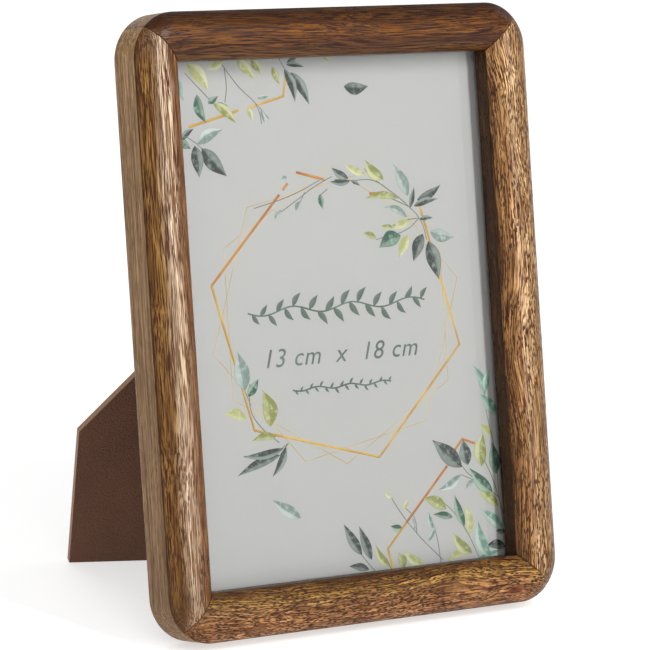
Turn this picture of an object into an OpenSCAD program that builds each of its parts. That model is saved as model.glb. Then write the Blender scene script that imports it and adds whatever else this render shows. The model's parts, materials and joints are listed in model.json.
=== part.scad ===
// Free-standing wooden photo frame: four mitred half-round rails round a glazed print,
// a fibreboard back held by four turn buttons, and a diagonal easel leg on a riveted hinge.
// X runs to the right as seen from the front, the print faces -Y, and +Z is up.
// The frame leans back on the rear edge of its bottom rail and on the foot of the leg.
// The origin is the middle of the ground that it covers.

/* [Print] */
// Width of the print that the frame takes
print_w = 130; // [100:1:200]
// Height of the print that the frame takes
print_h = 180; // [140:1:260]
// How far the rails lap over each edge of the print
sight_lap = 4.5; // [3:0.5:7]
// Play between the glass and the wall of the rabbet
rabbet_play = 0.5; // [0.2:0.1:1.5]

/* [Stack in the rabbet] */
// Thickness of the glass
glass_t = 2; // [1.5:0.1:3]
// Thickness of the printed card
print_t = 0.25; // [0.2:0.05:0.6]
// Thickness of the corrugated pad behind the print
pad_t = 1.15; // [0.8:0.05:3]
// Thickness of the fibreboard back
board_t = 3; // [2.5:0.1:4]
// Air left in front of the print
stack_play = 0.1; // [0.05:0.05:0.5]

/* [Moulding] */
// Width of a rail, seen from the front
rail_w = 16; // [14:0.5:24]
// Thickness of a rail from its back to the crown of its half-round
rail_t = 17; // [15:0.5:24]
// Height of the flat side band below the half-round
side_h = 12.8; // [10.5:0.1:14]
// Radius of the frame's rounded outer corners, seen from the front
corner_r = 15.5; // [12:0.5:20]
// How much prouder the half-round stays where it is sanded round a corner
corner_ease = 0.15; // [0.1:0.05:0.5]

/* [Stand] */
// Angle that the frame leans back, standing upright
lean = 14; // [8:0.5:18]
// Angle that the frame leans back, turned on its left side
side_lean = 12.5; // [8:0.5:16]
// Angle between the open leg and the back
open_angle = 30; // [24:1:36]
// Tilt of the hinge, so that one leg props the frame both ways up
hinge_tilt = 30; // [24:1:36]
// Distance of the hinge from the frame's top edge
hinge_from_top = 56.5; // [45:0.5:75]
// Distance of the hinge from the frame's right edge
hinge_from_right = 52.5; // [40:0.5:65]

/* [Leg] */
// Thickness of the fibreboard leg
leg_t = 3; // [2:0.1:4]
// Width of the leg at its hinge
leg_top_w = 27; // [25:0.5:34]
// Angle by which each edge of the leg spreads towards the foot
leg_flare = 9.75; // [6:0.25:12]
// Gap between the folded leg and the back
fold_gap = 0.2; // [0.1:0.1:1]

/* [Hinge] */
// Width of the hinge along its pin
hinge_w = 24; // [20:1:25]
// Thickness of the hinge's sheet steel
leaf_t = 0.7; // [0.5:0.1:1]
// Length of each leaf from the pin's axis
leaf_l = 14; // [11:0.5:20]
// Height of the pin's axis above the back
pin_up = 2.6; // [2.6:0.1:4]
// Radius of the hinge pin
pin_r = 0.9; // [0.7:0.1:1.1]
// Outer radius of the rolled knuckles
knuckle_r = 1.75; // [1.6:0.05:1.8]
// Length of the leg leaf's middle knuckle
mid_knuckle = 11; // [8:0.5:12]
// Gap between neighbouring knuckles
knuckle_gap = 0.3; // [0.2:0.1:0.6]
// Radial play of the pin in its knuckles
pin_play = 0.05; // [0.02:0.01:0.1]
// Length of the leg leaf's stop tongue
tongue_l = 6; // [4:0.5:7]
// Gap left between the stop tongue and the board leaf
stop_gap = 0.03; // [0.02:0.01:0.1]
// How far the pin's peened ends stand out round it
pin_head = 0.5; // [0.3:0.1:0.7]

/* [Rivets] */
// Radius of a rivet's shank
rivet_r = 1.25; // [1:0.05:1.5]
// Radius of a rivet's head
rivet_head_r = 2.5; // [2:0.1:3]
// Height of a rivet's head
rivet_head_h = 0.7; // [0.4:0.1:1]
// Distance between the two rivets of a leaf
rivet_pitch = 14; // [10:0.5:16]
// Distance of the rivets from the pin's axis
rivet_out = 9; // [7:0.5:12]
// Height of a board rivet's clinched end, which sinks into the pad
rivet_clinch_h = 0.6; // [0.3:0.1:0.7]
// Play round the clinched end in the pad
rivet_pocket_play = 0.7; // [0.3:0.1:1.5]
// How far a leg rivet's clinched end flares into its countersink
rivet_sink = 0.9; // [0.5:0.1:1.2]

/* [Turn buttons] */
// Length of a turn button from its screw to its tip
button_reach = 13.5; // [11:0.5:18]
// Width of a turn button
button_w = 8.5; // [7:0.5:11]
// Thickness of a turn button
button_t = 0.8; // [0.6:0.1:1.2]
// Gap above and below a turn button
button_gap = 0.05; // [0.03:0.01:0.1]
// Distance of a button's screw from the frame's outer edge
button_in = 5.5; // [5:0.5:7]
// Distance of the top and bottom buttons from the middle
button_x = 36; // [30:1:38]
// Distance of the side buttons from the middle
button_z = 38; // [30:1:50]

/* [Screws and corner nails] */
// Radius of a screw's shank
screw_r = 1.3; // [1.1:0.05:1.5]
// Length of a screw in the wood
screw_l = 9; // [7:0.5:10]
// Radius of a screw's head
screw_head_r = 2.7; // [2.3:0.1:3.2]
// Height of a screw's head
screw_head_h = 1.5; // [1.2:0.1:2]
// Radial play of a turn button on its screw
button_play = 0.05; // [0.02:0.01:0.1]
// Length of each arm of a corner nail
nail_arm = 6; // [5:0.5:7]
// Thickness of a corner nail's steel
nail_t = 0.6; // [0.5:0.1:0.8]
// Depth of a corner nail
nail_d = 7; // [5:0.5:8]
// How far a corner nail is driven below the back of the rails
nail_sink = 0.3; // [0.2:0.1:0.8]
// Distance of a corner nail's bend from both outer edges
nail_in = 7; // [6.5:0.5:8]

/* [Hidden] */
$fn = 64;
EPS = 1;                                    // overshoot of cutting shapes

// Outer sizes of the moulding
outer_w = print_w + 2 * (rail_w - sight_lap);
outer_h = print_h + 2 * (rail_w - sight_lap);

// Rabbet: wide enough for the lap and the play, deep enough for the stack
rabbet_w = sight_lap + rabbet_play;
rabbet_d = glass_t + stack_play + print_t + pad_t + board_t;

// Half-round: an arc through both top edges of the rail and its crown
cap_rise = rail_t - side_h;
cap_r = (pow(rail_w / 2, 2) + pow(cap_rise, 2)) / (2 * cap_rise);
cap_centre = rail_t - cap_r;

// Hinge centre in the frame's own plane, on the pin's axis
hinge_x = outer_w / 2 - hinge_from_right;
hinge_z = outer_h / 2 - hinge_from_top;
hinge_at = [hinge_x, pin_up, hinge_z];

// Leg: its faces lie along the normal of the leg, measured from the pin's axis
leg_inner = fold_gap - pin_up;
leg_outer = leg_inner + leg_t;
leg_top = knuckle_r + 1;                    // the leg starts clear of the knuckles

// Directions in the frame's plane: along the hinge, down the open leg, and out of its back
hinge_dir = [cos(hinge_tilt), 0, -sin(hinge_tilt)];
fold_dir = [-sin(hinge_tilt), 0, -cos(hinge_tilt)];
leg_dir = cos(open_angle) * fold_dir + sin(open_angle) * [0, 1, 0];
leg_out = cos(open_angle) * [0, 1, 0] - sin(open_angle) * fold_dir;

// Both supporting planes pass through a rear outer edge of the frame
up_standing = [0, -sin(lean), cos(lean)];
up_on_side = [cos(side_lean), -sin(side_lean), 0];
edge_standing = [0, 0, -outer_h / 2];
edge_on_side = [-outer_w / 2, 0, 0];

// A line on the leg is [a, b, c], meaning a + b * across + c * down = 0
function ground_line(up, edge) = [
    up * (hinge_at + leg_inner * leg_out - edge),
    up * hinge_dir,
    up * leg_dir
];
function flared_line(side) = [
    leg_top_w / 2 * cos(leg_flare) - leg_top * sin(leg_flare),
    side * cos(leg_flare),
    sin(leg_flare)
];
function crossing(l, m) =
    let (d = l[1] * m[2] - l[2] * m[1])
    [(l[2] * m[0] - l[0] * m[2]) / d, (l[0] * m[1] - l[1] * m[0]) / d];

foot_line = ground_line(up_standing, edge_standing);
toe_line = ground_line(up_on_side, edge_on_side);
left_line = flared_line(1);
right_line = flared_line(-1);
toe_corner = crossing(foot_line, toe_line);
leg_outline = [
    [-leg_top_w / 2, leg_top],
    crossing(left_line, toe_line),
    toe_corner,
    crossing(right_line, foot_line),
    [leg_top_w / 2, leg_top]
];

// Ground covered: from the crown of the bottom rail to the farthest corner of the leg
function leg_point(p, out) = hinge_at + p[0] * hinge_dir + p[1] * leg_dir + out * leg_out;
function behind(p) = p[1] * cos(lean) + (p[2] + outer_h / 2) * sin(lean);
front_y = rail_w / 2 * sin(lean) - cap_centre * cos(lean) - cap_r;
rear_y = max([for (p = leg_outline) for (out = [leg_inner, leg_outer]) behind(leg_point(p, out))]);

// Each side of the frame: [turn of its rail, place of its turn button along the rail]
TOP = [180, -button_x];
BOTTOM = [0, button_x];
LEFT = [90, -button_z];
RIGHT = [-90, -button_z];
SIDES = [TOP, BOTTOM, LEFT, RIGHT];

// ---------------------------------------------------------------- placing

// Stands the frame up: from its own plane to the ground
module stood() {
    translate([0, -(front_y + rear_y) / 2, 0])
        rotate([-lean, 0, 0])
            translate([0, 0, outer_h / 2])
                children();
}

// Puts a rail that lies along X with its outer edge on z = 0 at one side of the frame
module at_side(side) {
    half = abs(side[0]) == 90 ? outer_w / 2 : outer_h / 2;
    rotate([0, side[0], 0])
        translate([0, 0, -half])
            children();
}

// Extrudes an outline drawn in the frame's plane towards the front, starting at y = back
module forward(back, depth) {
    translate([0, back, 0])
        rotate([90, 0, 0])
            linear_extrude(height = depth)
                children();
}

// Puts a piece drawn with z up the folded leg and y out of the back onto the open hinge
module on_hinge(angle) {
    translate(hinge_at)
        rotate([0, hinge_tilt, 0])
            rotate([angle, 0, 0])
                children();
}

// A rod along Y, from y = a to y = b
module rod_y(r, a, b) {
    translate([0, b, 0])
        rotate([90, 0, 0])
            cylinder(r = r, h = b - a);
}

// ---------------------------------------------------------------- rails

// Cross-section of a rail: x from the outer edge inwards, y from the back to the front
module rail_section() {
    difference() {
        union() {
            square([rail_w, side_h]);
            intersection() {
                translate([rail_w / 2, cap_centre])
                    circle(r = cap_r);
                translate([0, side_h - EPS])
                    square([rail_w, cap_rise + 2 * EPS]);
            }
        }
        translate([rail_w - rabbet_w, -EPS])
            square([rabbet_w + EPS, rabbet_d + EPS]);
    }
}

// Plan of a rail: mitred at both ends, its outer corners round
module rail_plan(length) {
    difference() {
        polygon([
            [-length / 2, 0],
            [length / 2, 0],
            [length / 2 - rail_w, rail_w],
            [rail_w - length / 2, rail_w]
        ]);
        for (side = [-1, 1])
            translate([side * (length / 2 - corner_r), corner_r])
                difference() {
                    translate([side > 0 ? 0 : -corner_r - EPS, -corner_r - EPS])
                        square([corner_r + EPS, corner_r + EPS]);
                    circle(r = corner_r);
                }
    }
}

// What is sanded off above the half-round where it turns a corner
module corner_relief() {
    rotate([90, 0, 0])
        rotate_extrude(angle = 90)
            difference() {
                translate([corner_r - rail_w / 2, side_h + corner_ease])
                    square([rail_w / 2 + EPS, cap_rise + EPS]);
                translate([corner_r - rail_w / 2, cap_centre + corner_ease])
                    circle(r = cap_r);
            }
}

// One corner nail, drawn from the outer corner: x and z run inwards along the two rails
module corner_nail(depth_from, depth_to) {
    translate([nail_in, -depth_to, nail_in])
        cube([nail_arm, depth_to - depth_from, nail_t]);
    translate([nail_in, -depth_to, nail_in])
        cube([nail_t, depth_to - depth_from, nail_arm]);
}

// A rail along X with its outer edge on z = 0, bored for its turn button
module rail(length, side) {
    difference() {
        intersection() {
            translate([-length / 2, 0, 0])
                rotate([180, -90, 0])
                    linear_extrude(height = length)
                        rail_section();
            forward(EPS, rail_t + 2 * EPS)
                rail_plan(length);
        }
        for (end = [0, 1])
            mirror([end, 0, 0]) {
                translate([length / 2 - corner_r, 0, corner_r])
                    rotate([0, 90, 0])
                        corner_relief();
                translate([-length / 2, 0, 0])
                    corner_nail(-EPS, nail_sink + nail_d);
            }
        translate([side[1], 0, button_in])
            rod_y(screw_r, -screw_l, EPS);
    }
}

module rail_top() {
    color("#8a5a32") stood() at_side(TOP) rail(outer_w, TOP);
}

module rail_bottom() {
    color("#a87840") stood() at_side(BOTTOM) rail(outer_w, BOTTOM);
}

module stile_left() {
    color("#93704c") stood() at_side(LEFT) rail(outer_h, LEFT);
}

module stile_right() {
    color("#a06c38") stood() at_side(RIGHT) rail(outer_h, RIGHT);
}

module corner_v_nails() {
    color("silver") stood()
        for (x = [0, 1], z = [0, 1])
            mirror([x, 0, 0])
                mirror([0, 0, z])
                    translate([-outer_w / 2, 0, -outer_h / 2])
                        corner_nail(nail_sink, nail_sink + nail_d);
}

// ---------------------------------------------------------------- stack in the rabbet

// A sheet as large as the print, its front face at y = -front
module sheet(front, thickness) {
    forward(thickness - front, thickness)
        square([print_w, print_h], center = true);
}

module glass_pane() {
    color("#dfe8e8", 0.35) stood() sheet(rabbet_d, glass_t);
}

module print_card() {
    color("#e6e6e2") stood() sheet(rabbet_d - glass_t - stack_play, print_t);
}

module backing_pad() {
    color("#b99a6b") stood()
        difference() {
            sheet(board_t + pad_t, pad_t);
            on_hinge(0)
                rivet_places(1)
                    rod_y(rivet_head_r + rivet_pocket_play, -pin_up - board_t - pad_t - EPS, 0);
        }
}

module back_board() {
    color("#6b4630") stood()
        difference() {
            sheet(board_t, board_t);
            on_hinge(0)
                rivet_places(1)
                    rod_y(rivet_r, -pin_up - board_t - EPS, 0);
        }
}

// ---------------------------------------------------------------- turn buttons

// A stamped turn button on its screw, lying across the joint between rail and board
module turn_button(side) {
    color("silver") stood() at_side(side)
        translate([side[1], 0, button_in])
            forward(button_gap + button_t, button_t)
                difference() {
                    union() {
                        translate([-button_w / 2, 0])
                            square([button_w, button_reach - button_w / 2]);
                        circle(d = button_w);
                        translate([0, button_reach - button_w / 2])
                            circle(d = button_w);
                    }
                    circle(r = screw_r + button_play);
                }
}

module turn_button_top() turn_button(TOP);
module turn_button_bottom() turn_button(BOTTOM);
module turn_button_left() turn_button(LEFT);
module turn_button_right() turn_button(RIGHT);

// A pan-head screw along Y, its head seated on y = 0 and its point at y = -length
module screw(length) {
    tip = 2 * screw_r;
    rim = 0.6 * screw_head_h;
    slot = 0.25 * screw_head_r;
    rod_y(screw_r, tip - length, EPS / 2);
    translate([0, tip - length, 0])
        rotate([90, 0, 0])
            cylinder(r1 = screw_r, r2 = screw_r / 8, h = tip);
    difference() {
        union() {
            rod_y(screw_head_r, 0, rim);
            translate([0, screw_head_h, 0])
                rotate([90, 0, 0])
                    cylinder(r1 = screw_head_r * 0.7, r2 = screw_head_r, h = screw_head_h - rim);
        }
        for (turn = [0, 90])
            rotate([0, turn, 0])
                translate([-screw_head_r / 2, rim, -slot / 2])
                    cube([screw_head_r, screw_head_h, slot]);
    }
}

module turn_button_screws() {
    seat = button_t + 2 * button_gap;
    color("gainsboro") stood()
        for (side = SIDES)
            at_side(side)
                translate([side[1], seat, button_in])
                    screw(screw_l + seat);
}

// ---------------------------------------------------------------- hinge and leg
// On the hinge x runs along the pin, z up and away from the leg, y out of the back.

// The two rivets of a leaf: end 1 is the board leaf, end -1 the leg leaf
module rivet_places(end) {
    for (side = [-1, 1])
        translate([side * rivet_pitch / 2, 0, end * rivet_out])
            children();
}

// A length of knuckle round the pin, from x = a to x = b
module knuckle(r, a, b) {
    translate([a, 0, 0])
        rotate([0, 90, 0])
            cylinder(r = r, h = b - a);
}

// The bore of the knuckles, right through the hinge
module pin_bore() {
    knuckle(pin_r + pin_play, -hinge_w / 2 - EPS, hinge_w / 2 + EPS);
}

module hinge_board_leaf() {
    inner = mid_knuckle / 2 + knuckle_gap;
    color("silver") stood() on_hinge(0)
        difference() {
            union() {
                translate([-hinge_w / 2, -pin_up, -knuckle_r])
                    cube([hinge_w, leaf_t, leaf_l + knuckle_r]);
                for (end = [0, 1])
                    mirror([end, 0, 0]) {
                        knuckle(knuckle_r, inner, hinge_w / 2);
                        translate([inner, -pin_up, knuckle_r - leaf_t])
                            cube([hinge_w / 2 - inner, pin_up, leaf_t]);
                    }
            }
            pin_bore();
            rivet_places(1)
                rod_y(rivet_r, -pin_up - EPS, 0);
        }
}

module hinge_board_rivets() {
    color("gainsboro") stood() on_hinge(0)
        rivet_places(1) {
            rod_y(rivet_r, -pin_up - board_t, leaf_t - pin_up);
            rod_y(rivet_head_r, leaf_t - pin_up, leaf_t - pin_up + rivet_head_h);
            rod_y(rivet_head_r, -pin_up - board_t - rivet_clinch_h, -pin_up - board_t);
        }
}

module hinge_pin() {
    half = hinge_w / 2 + pin_play;
    color("gainsboro") stood() on_hinge(0) {
        knuckle(pin_r, -half, half);
        for (end = [0, 1])
            mirror([end, 0, 0])
                knuckle(pin_r + pin_head, half, half + pin_head);
    }
}

module hinge_leg_leaf() {
    clear = knuckle_r + knuckle_gap;
    color("silver") stood() on_hinge(open_angle)
        difference() {
            union() {
                translate([-hinge_w / 2, leg_outer, -leaf_l])
                    cube([hinge_w, leaf_t, leaf_l - clear]);
                translate([-mid_knuckle / 2, leg_outer, -leaf_l])
                    cube([mid_knuckle, leaf_t, leaf_l]);
                knuckle(knuckle_r, -mid_knuckle / 2, mid_knuckle / 2);
                rotate([-open_angle, 0, 0])
                    translate([-mid_knuckle / 2, leaf_t + stop_gap - pin_up, 0])
                        cube([mid_knuckle, leaf_t, tongue_l]);
            }
            pin_bore();
            rivet_places(-1)
                rod_y(rivet_r, leg_outer - EPS, leg_outer + leaf_t + EPS);
        }
}

// A leg rivet: its clinched end flares flush with the leg's inner face
module leg_rivet(shank_end) {
    rod_y(rivet_r, leg_inner, shank_end);
    translate([0, leg_inner + rivet_sink, 0])
        rotate([90, 0, 0])
            cylinder(r1 = rivet_r, r2 = rivet_r + rivet_sink, h = rivet_sink);
}

module hinge_leg_rivets() {
    seat = leg_outer + leaf_t;
    color("gainsboro") stood() on_hinge(open_angle)
        rivet_places(-1) {
            leg_rivet(seat);
            rod_y(rivet_head_r, seat, seat + rivet_head_h);
        }
}

module strut_leg() {
    color("#5a3a28") stood() on_hinge(open_angle)
        difference() {
            forward(leg_outer, leg_t)
                polygon([for (p = leg_outline) [p[0], -p[1]]]);
            rivet_places(-1)
                leg_rivet(leg_outer + EPS);
        }
}

rail_top();
rail_bottom();
stile_left();
stile_right();
corner_v_nails();
glass_pane();
print_card();
backing_pad();
back_board();
turn_button_top();
turn_button_bottom();
turn_button_left();
turn_button_right();
turn_button_screws();
hinge_board_leaf();
hinge_board_rivets();
hinge_pin();
hinge_leg_leaf();
hinge_leg_rivets();
strut_leg();
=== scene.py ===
# %% [markdown]
# # A wooden photo frame on its easel leg
# This notebook dresses a imported model of a small free-standing picture frame: four mitred half-round
# rails of mango wood, glass, a printed card with leaves on it, and a fibreboard leg on a steel hinge.
# The imported model fixes every size and place. The notebook only makes surfaces and finishes round it.
#
# ## Loading the model
# The imported model arrives as one object per part, each with its place in its mesh. Its box is measured
# now, and gives the sizes of the frame.

# %% Load the imported model
import json
import math
from functools import partial

import bmesh
import bpy
import numpy as np
from mathutils import Matrix, Vector


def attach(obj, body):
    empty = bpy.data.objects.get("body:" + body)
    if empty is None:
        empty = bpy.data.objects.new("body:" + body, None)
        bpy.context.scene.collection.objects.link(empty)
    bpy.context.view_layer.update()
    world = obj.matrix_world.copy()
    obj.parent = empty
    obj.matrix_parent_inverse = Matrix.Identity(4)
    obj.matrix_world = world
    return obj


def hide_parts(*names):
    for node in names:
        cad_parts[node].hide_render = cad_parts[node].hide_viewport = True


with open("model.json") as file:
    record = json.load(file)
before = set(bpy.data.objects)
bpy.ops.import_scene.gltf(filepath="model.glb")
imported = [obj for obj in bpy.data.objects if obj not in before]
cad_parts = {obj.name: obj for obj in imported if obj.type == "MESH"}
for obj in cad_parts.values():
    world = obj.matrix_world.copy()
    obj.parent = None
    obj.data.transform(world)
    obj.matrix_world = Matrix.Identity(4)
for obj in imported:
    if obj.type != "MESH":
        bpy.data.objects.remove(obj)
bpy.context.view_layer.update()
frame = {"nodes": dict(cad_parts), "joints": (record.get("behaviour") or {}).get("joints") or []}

MM = 0.001                                  # one millimetre in Blender's metres
WELD = 0.002 * MM                           # corners nearer than this are one corner


# %% [markdown]
# ## A frame of reference in the plane of the picture
# The frame leans back, so nothing on it is square to the world. A maker measures it flat on the bench,
# and so does this notebook: x to the right, y out of the back, z up the picture, in millimetres, from
# the middle of the back. The lean is read from the axis of a turn button, which stands square on the
# back. One matrix then carries bench millimetres into place.

# %% Bench coordinates
def joint(name):
    """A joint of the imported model, by its name."""
    return next(j for j in frame["joints"] if j["name"] == name)


back_normal = Vector(joint("turn_button_top_pivot")["axis"]).normalized()
picture_up = Vector((1, 0, 0)).cross(back_normal).normalized()
bench_axes = Matrix((Vector((1, 0, 0)), back_normal, picture_up))


def node_points(name):
    """The corners of a part's mesh, in bench directions and millimetres."""
    mesh = frame["nodes"][name].data
    points = np.empty(len(mesh.vertices) * 3, np.float32)
    mesh.vertices.foreach_get("co", points)
    return points.reshape(-1, 3) @ np.array(bench_axes).T / MM


rail_names = ["rail_bottom", "rail_top", "stile_left", "stile_right"]
rail_points = np.vstack([node_points(name) for name in rail_names])
low, high = rail_points.min(axis=0), rail_points.max(axis=0)
middle_of_back = Vector(((low[0] + high[0]) / 2, high[1], (low[2] + high[2]) / 2))
BENCH = bench_axes.transposed().to_4x4() @ Matrix.Scale(MM, 4) @ Matrix.Translation(middle_of_back)


def bench_box(name):
    """Lowest and highest corner of a part on the bench, in millimetres."""
    points = node_points(name) - np.array(middle_of_back)
    return points.min(axis=0), points.max(axis=0)


outer_w, rail_t, outer_h = (float(c) for c in high - low)
rail_w = float(np.ptp(bench_box("rail_bottom"), axis=0)[2])
glass_box = bench_box("glass_pane")
card_box = bench_box("print_card")
print(f"outside {outer_w:.1f} x {outer_h:.1f} mm, rails {rail_w:.1f} x {rail_t:.1f} mm")
print(f"lean {math.degrees(math.atan2(-back_normal.z, back_normal.y)):.1f} degrees")


# %% [markdown]
# ## Camera
# The camera stands a little over a metre away, left of the picture and slightly above it, and looks
# through a long lens, so the rails hardly converge. It is turned a few degrees about its own axis, as
# a hand-held camera is. Its place is worked out from the angles and the distance, not typed in.

# %% Camera
VIEW_AZIMUTH, VIEW_ELEVATION, VIEW_ROLL = -33.89, 13.42, 4.11      # degrees
VIEW_DISTANCE = 1272                                               # mm
VIEW_TARGET = Vector((3.9, -4.9, 92.9))                            # mm, from the middle of the ground
LENS = 210.5                                                       # mm, on a 36 mm wide sensor


def direction(azimuth, elevation):
    """Unit vector from the object towards a camera or lamp at those angles."""
    a, e = math.radians(azimuth), math.radians(elevation)
    return Vector((math.sin(a) * math.cos(e), -math.cos(a) * math.cos(e), math.sin(e)))


def aimed_from(place, towards):
    """A matrix that puts a camera or lamp at a place and turns it back along a direction."""
    return Matrix.Translation(place) @ (-towards).to_track_quat("-Z", "Y").to_matrix().to_4x4()


camera = bpy.data.objects.new("camera", bpy.data.cameras.new("camera"))
bpy.context.scene.collection.objects.link(camera)
camera.data.lens = LENS
camera.data.sensor_width = 36
camera.data.clip_start = 0.01
camera.data.clip_end = 20
towards_camera = direction(VIEW_AZIMUTH, VIEW_ELEVATION)
roll = Matrix.Rotation(math.radians(VIEW_ROLL), 4, "Z")
camera.matrix_world = aimed_from((VIEW_TARGET + towards_camera * VIEW_DISTANCE) * MM, towards_camera) @ roll
bpy.context.scene.camera = camera
print("camera at", [round(c, 3) for c in camera.matrix_world.translation])


# %% [markdown]
# ## A helper for node trees
# Every finish and every Geometry Nodes tree below is built with one helper. It adds a node, sets its
# properties, fills its sockets and returns an output, so a tree reads like a short recipe. A value may
# be a number, a colour or another node's output. The node's mode follows its kind, as in
# "Math MULTIPLY". Colours are written as the hex values of a paint chart and turned into the linear
# values that Blender mixes in.

# %% Node helper and colours
def linear(hex_colour):
    """A paint-chart colour such as '#a87038' as linear RGBA."""
    channels = [int(hex_colour[i:i + 2], 16) / 255 for i in (1, 3, 5)]
    return (*[c / 12.92 if c <= 0.04045 else ((c + 0.055) / 1.055) ** 2.4 for c in channels], 1.0)


def add(tree, kind, *values, named=(), out=None, stops=(), **settings):
    """Adds a node and returns its first output, or the one that out names. values fill the sockets in
    use, in their order, named fills them by name, and stops are a colour ramp's (place, hex) pairs."""
    kind, _, mode = kind.partition(" ")
    families = ("GeometryNode", "ShaderNode", "FunctionNode", "Node")
    if tree.bl_idname == "ShaderNodeTree":
        families = ("ShaderNode",)
    node = tree.nodes.new(next(f + kind for f in families if hasattr(bpy.types, f + kind)))
    if stops:
        node.color_ramp.interpolation = mode
        while len(node.color_ramp.elements) < len(stops):
            node.color_ramp.elements.new(1.0)
        for element, (place, hex_colour) in zip(node.color_ramp.elements, stops):
            element.position = place
            element.color = linear(hex_colour)
    elif mode:
        modes = ("operation", "interpolation_type", "data_type")
        settings[next(m for m in modes if hasattr(node, m))] = mode
    for name, value in settings.items():
        setattr(node, name, value)
    in_use = [socket for socket in node.inputs if socket.enabled]
    named_sockets = [(node.inputs[name], value) for name, value in dict(named).items()]
    for socket, value in [*zip(in_use, values), *named_sockets]:
        if isinstance(value, bpy.types.NodeSocket):
            tree.links.new(value, socket)
        else:
            socket.default_value = value
    return node.outputs[out] if out else next((o for o in node.outputs if o.enabled), None)


print("mango brown is", [round(c, 3) for c in linear("#a87038")[:3]])


# %% [markdown]
# ### Materials and trees
# A material starts empty. Its recipe adds nodes, and coating it adds the shader with the looks given.
# A look that is the same all over is set on the shader's own socket. Patterns need a place to read:
# they take the object's own coordinates and turn them into bench millimetres, so a pattern's scale is
# a real size, and it stays on the piece when the leg swings.

# %% Starting a material or a tree
def new_material(name):
    """An empty material, and the helper that adds nodes to it."""
    material = bpy.data.materials.new(name)
    material.use_nodes = True
    material.node_tree.nodes.clear()
    return material, partial(add, material.node_tree)


def coat(material, looks):
    """Gives a material its shader, with the sockets that looks names."""
    shader = add(material.node_tree, "BsdfPrincipled", named=looks)
    add(material.node_tree, "OutputMaterial", shader, is_active_output=True)
    return material


def new_tree(name, inputs):
    """An empty Geometry Nodes tree, the helper that adds nodes to it, and its inputs."""
    tree = bpy.data.node_groups.new(name, "GeometryNodeTree")
    for label, kind in inputs.items():
        tree.interface.new_socket(label, in_out="INPUT", socket_type="NodeSocket" + kind)
    tree.interface.new_socket("Geometry", in_out="OUTPUT", socket_type="NodeSocketGeometry")
    return tree, partial(add, tree), tree.nodes.new("NodeGroupInput").outputs


def bench_mm(node, per_mm=1.0, placing=None):
    """Place of a point in bench millimetres, from the object's own coordinates, times per_mm."""
    to_bench = (placing or BENCH).inverted()
    turn = to_bench.to_3x3().normalized().to_euler()
    return node("Mapping", node("TexCoord", out="Object"), to_bench.translation * per_mm, turn,
                to_bench.to_scale() * per_mm)


# %% [markdown]
# ## Floor and light
# The frame stands on a table of white acrylic that glows faintly from below, so its shadow stays pale.
# A big soft panel hangs on the left, a weak one on the right, and one lights the back. A tall narrow
# strip in front and to the right draws a pale streak down the crown of each stile, which the stiles'
# wood also carries as a painted highlight, and none on the rails, because a standing strip mirrors
# only in standing rods. It stays out of the glass, which mirrors what stands further round to the right.

# %% Floor and studio light
FLOOR_REACH = 12.0                                                 # metres, far past the view
LAMP_AIM = Vector((0, 0, 0.1))                                     # metres, the middle of the frame

floor = bpy.data.objects.new("floor", bpy.data.meshes.new("floor"))
corners = [(x * FLOOR_REACH, y * FLOOR_REACH, 0) for x, y in ((-1, -1), (1, -1), (1, 1), (-1, 1))]
floor.data.from_pydata(corners, [], [(0, 1, 2, 3)])
bpy.context.scene.collection.objects.link(floor)
table_white = new_material("white acrylic light table, lit faintly from below")[0]
floor.data.materials.append(coat(table_white, {
    "Base Color": linear("#cccccc"), "Roughness": 0.9, "Specular IOR Level": 0.1,
    "Emission Color": (1, 1, 1, 1), "Emission Strength": 0.55}))


def soft_panel(name, azimuth, elevation, distance, width, height, power):
    """A rectangular lamp that faces the frame. Distances in metres, power in watts."""
    lamp = bpy.data.objects.new(name, bpy.data.lights.new(name, "AREA"))
    lamp.data.shape = "RECTANGLE"
    lamp.data.size, lamp.data.size_y = width, height
    lamp.data.energy = power
    towards = direction(azimuth, elevation)
    lamp.matrix_world = aimed_from(LAMP_AIM + towards * distance, towards)
    bpy.context.scene.collection.objects.link(lamp)


soft_panel("main_panel", -38, 42, 1.7, 1.5, 1.1, 12)
soft_panel("strip_panel", 17, 28, 1.6, 0.05, 1.5, 21)
soft_panel("right_panel", 88, 25, 1.7, 0.9, 1.2, 3)
soft_panel("rear_panel", 170, 40, 1.8, 1.4, 1.2, 10)
world = bpy.data.worlds.new("white surround")
bpy.context.scene.world = world
world.use_nodes = True
world.node_tree.nodes["Background"].inputs["Color"].default_value = (1, 1, 1, 1)
world.node_tree.nodes["Background"].inputs["Strength"].default_value = 0.36
bpy.context.scene.view_settings.view_transform = "Standard"


# %% [markdown]
# ## The rails
# Each rail is planed with a half-round top, a flat outer band and a step, or rabbet, behind for the
# glass, then sawn at 45 degrees at both ends and glued to its neighbours. The outer corners are sanded
# round after gluing, which wears the half-round down there, while the inner half keeps its crisp mitre.
#
# A swept curve could make the straight part but not that worn corner. So the section is drawn once as
# a loop of points, and a Geometry Nodes tree lays a grid over the rail: one way round the section, the
# other way along the rail. Outside the crown the grid follows the rounded corner, inside it runs
# straight into the mitre, and the height is whichever is lower, the moulding or the worn corner.

# %% The section of the moulding
BAND_H = 12.8            # height of the flat band outside the half-round
CORNER_R = 15.5          # radius of the sanded corners
ARRIS = 0.35             # how far the sharp edges are eased
GLASS_PLAY = 0.5         # play round the glass
CAP_POINTS = 36          # steps across the half-round

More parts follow.
